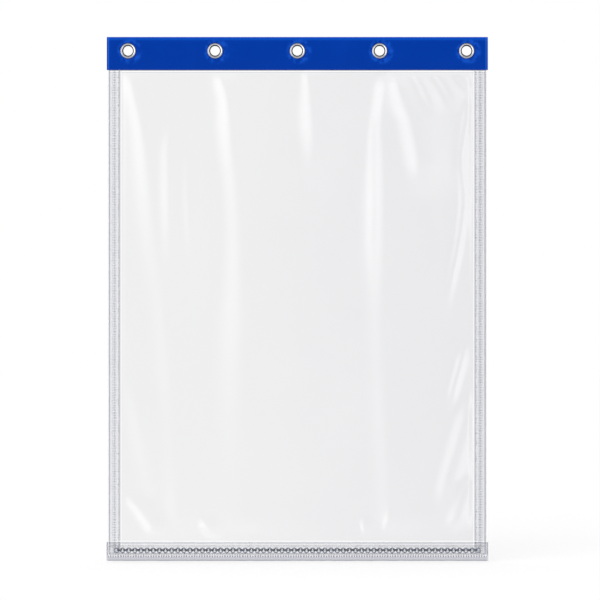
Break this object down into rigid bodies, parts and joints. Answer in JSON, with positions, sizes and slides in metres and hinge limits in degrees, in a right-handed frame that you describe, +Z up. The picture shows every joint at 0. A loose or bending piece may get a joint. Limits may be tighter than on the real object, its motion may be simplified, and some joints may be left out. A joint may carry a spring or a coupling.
{
  "type": "cleanroom curtain",
  "caption": "Clear hanging curtain with a blue header strip on metal eyelets, folded side hems and a ring chain that weighs it down in a pocket along its foot.",
  "frame": {"origin": "middle of the curtain on the row of eyelets, which its hooks carry", "axes": "+X along the header, +Y to the back, +Z up"},
  "size_m": [0.6008, 0.0158, 0.824],
  "materials": {
    "header_vinyl": "satin blue vinyl",
    "film": "clear vinyl film",
    "clear_strip": "clear vinyl strip, folded and welded",
    "nickel": "nickel plate",
    "zinc": "zinc-plated wire"
  },
  "bodies": {
    "header": {"header_strip": "header_vinyl", "film_top_margin": "film", "eyelet_1": "nickel", "eyelet_2": "nickel", "eyelet_3": "nickel", "eyelet_4": "nickel", "eyelet_5": "nickel", "washer_1": "nickel", "washer_2": "nickel", "washer_3": "nickel", "washer_4": "nickel", "washer_5": "nickel"},
    "panel": {"film_panel": "film", "side_hem_left": "clear_strip", "side_hem_right": "clear_strip", "chain_pocket": "clear_strip"},
    "chain": {"chain_run_01": "zinc", "chain_run_02": "zinc", "chain_run_03": "zinc", "chain_run_04": "zinc", "chain_run_05": "zinc", "chain_run_06": "zinc", "chain_run_07": "zinc", "chain_run_08": "zinc", "chain_run_09": "zinc", "chain_run_10": "zinc", "chain_run_11": "zinc", "chain_run_12": "zinc"}
  },
  "joints": [
    {"name": "panel_swing", "type": "hinge", "parent": "header", "child": "panel", "pos_m": [0, 0, -0.0317], "axis": [1, 0, 0], "range_deg": [-75, 75]},
    {"name": "chain_shift", "type": "slide", "parent": "panel", "child": "chain", "axis": [1, 0, 0], "range_m": [-0.0025, 0.0025]}
  ]
}
